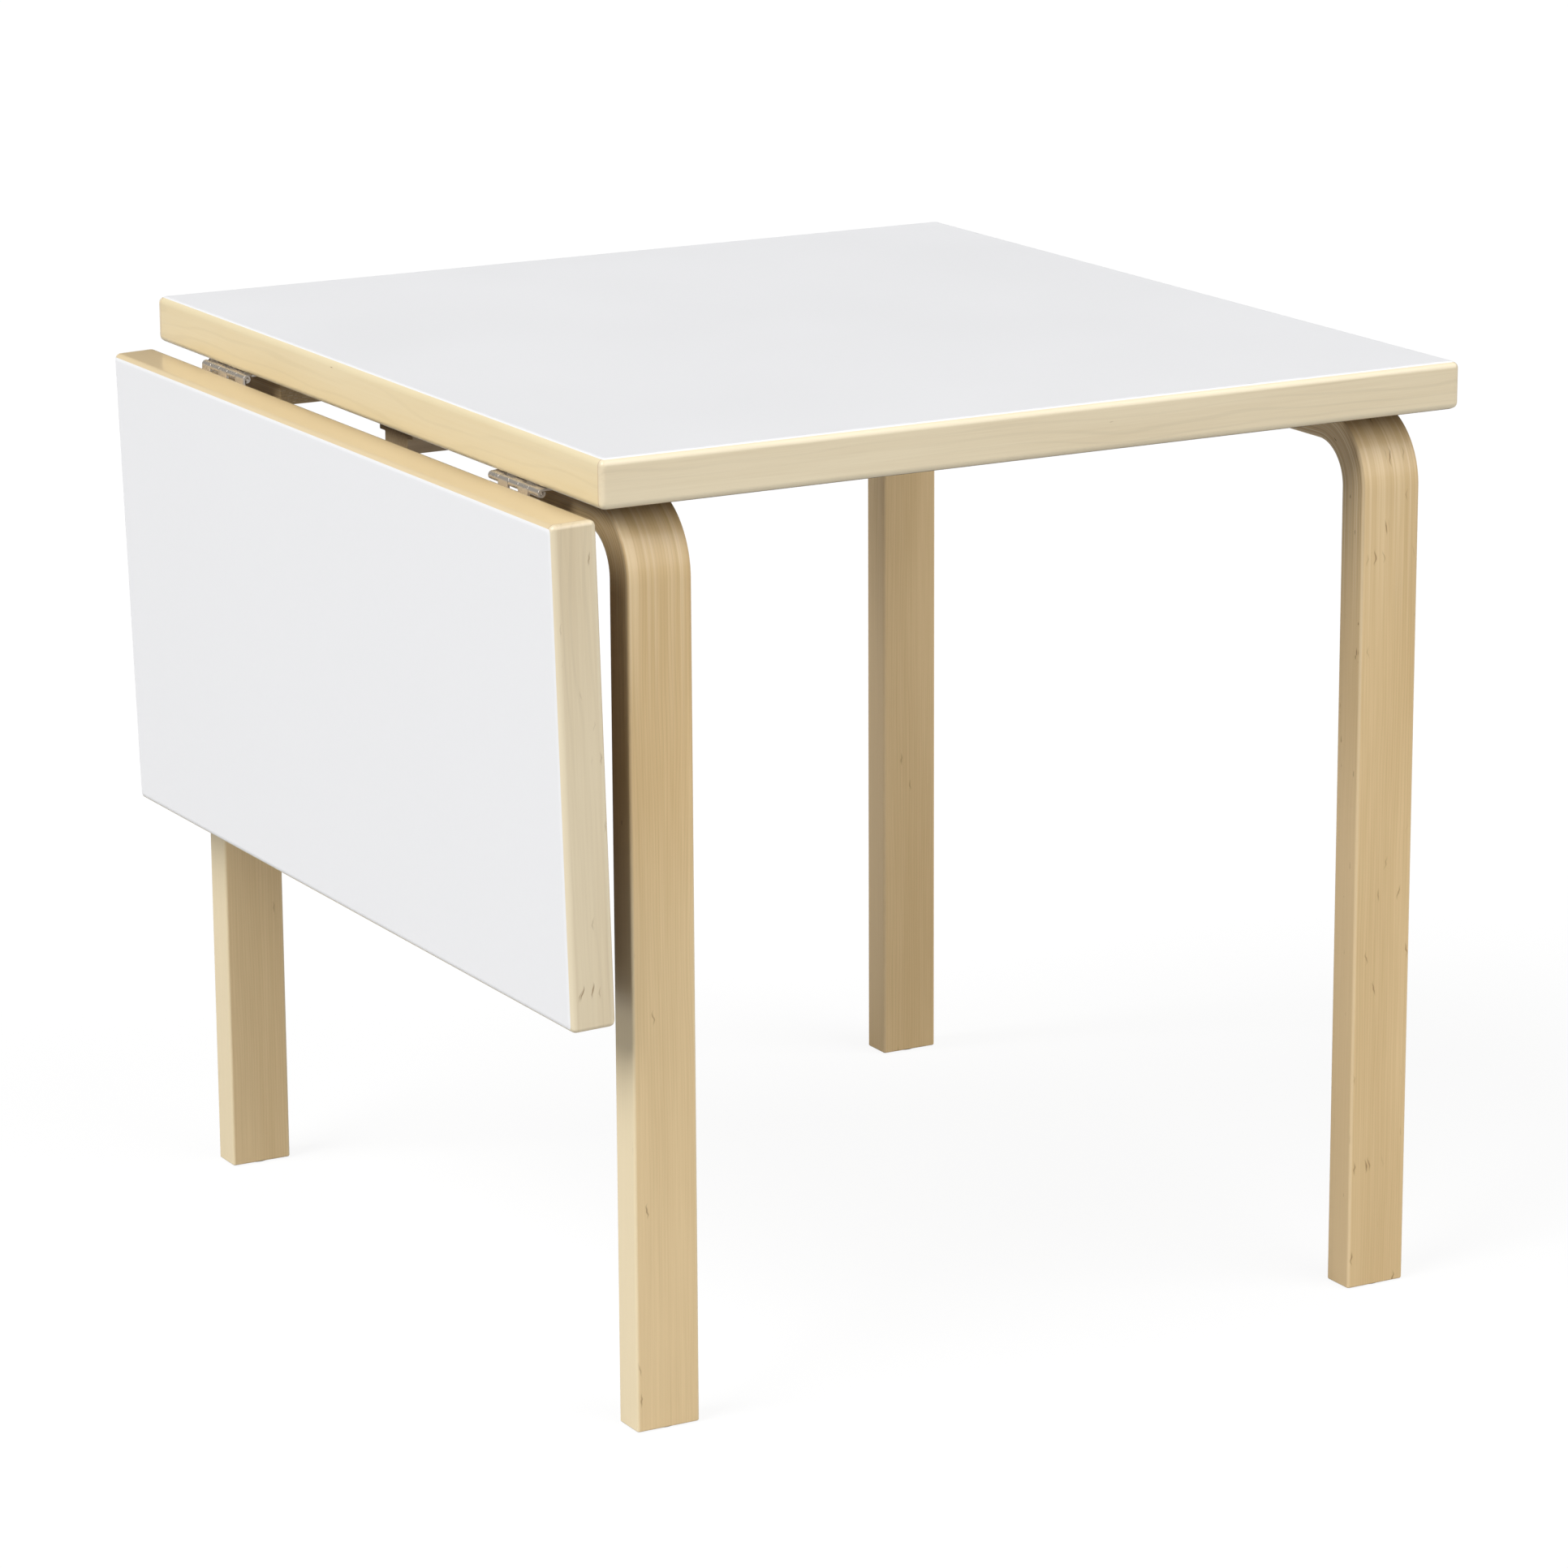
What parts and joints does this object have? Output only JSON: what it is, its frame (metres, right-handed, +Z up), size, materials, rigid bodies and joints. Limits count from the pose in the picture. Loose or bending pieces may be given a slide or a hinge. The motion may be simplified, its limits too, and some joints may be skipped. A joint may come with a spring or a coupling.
{
  "type": "drop-leaf table",
  "caption": "Square drop-leaf table: white laminated top with birch lipping on bent L-legs, a hanging hinged leaf and a slide-out leaf support.",
  "frame": {"origin": "on the floor, below the middle of the table's box with the leaf hanging", "axes": "+Z up, +X from the leaf side to the right-hand side, +Y from the front edge to the back edge"},
  "size_m": [0.7598, 0.76, 0.72],
  "materials": {
    "board_core": "raw particle board, sealed inside the board",
    "white_laminate": "smooth satin laminate",
    "backing_sheet": "matt brown balancing sheet",
    "birch_lipping": "clear satin lacquer",
    "birch_leg": "clear satin lacquer",
    "birch_runner": "clear satin lacquer",
    "birch_knob": "clear satin lacquer",
    "hinge_steel": "nickel plated",
    "zinc_screw": "zinc plated",
    "dark_steel_bar": "blackened steel",
    "grey_glide": "moulded nylon"
  },
  "bodies": {
    "table": {"top_core": "board_core", "top_laminate": "white_laminate", "top_backing": "backing_sheet", "top_lipping_front": "birch_lipping", "top_lipping_back": "birch_lipping", "top_lipping_right": "birch_lipping", "top_lipping_hinge_side": "birch_lipping", "leg_front_left": "birch_leg", "leg_front_right": "birch_leg", "leg_back_left": "birch_leg", "leg_back_right": "birch_leg", "leg_screws_front_left": "zinc_screw", "leg_screws_front_right": "zinc_screw", "leg_screws_back_left": "zinc_screw", "leg_screws_back_right": "zinc_screw", "glide_front_left": "grey_glide", "glide_front_right": "grey_glide", "glide_back_left": "grey_glide", "glide_back_right": "grey_glide", "hinge_front_top_plate": "hinge_steel", "hinge_front_pin": "hinge_steel", "hinge_front_top_screws": "zinc_screw", "hinge_back_top_plate": "hinge_steel", "hinge_back_pin": "hinge_steel", "hinge_back_top_screws": "zinc_screw", "support_runner": "birch_runner", "support_runner_screws": "zinc_screw"},
    "leaf": {"leaf_core": "board_core", "leaf_laminate": "white_laminate", "leaf_backing": "backing_sheet", "leaf_lipping_front": "birch_lipping", "leaf_lipping_back": "birch_lipping", "leaf_lipping_free_edge": "birch_lipping", "leaf_lipping_hinge_side": "birch_lipping", "hinge_front_leaf_plate": "hinge_steel", "hinge_front_leaf_screws": "zinc_screw", "hinge_back_leaf_plate": "hinge_steel", "hinge_back_leaf_screws": "zinc_screw"},
    "support_slide": {"support_bar": "dark_steel_bar", "support_knob": "birch_knob", "support_knob_screw": "zinc_screw"}
  },
  "joints": [
    {"name": "leaf_fold", "type": "hinge", "parent": "table", "child": "leaf", "pos_m": [-0.34011, 0, 0.68], "axis": [0, 1, 0], "range_deg": [0, 91.65]},
    {"name": "support_pull", "type": "slide", "parent": "table", "child": "support_slide", "axis": [-1, 0, 0], "range_m": [0, 0.19]}
  ]
}
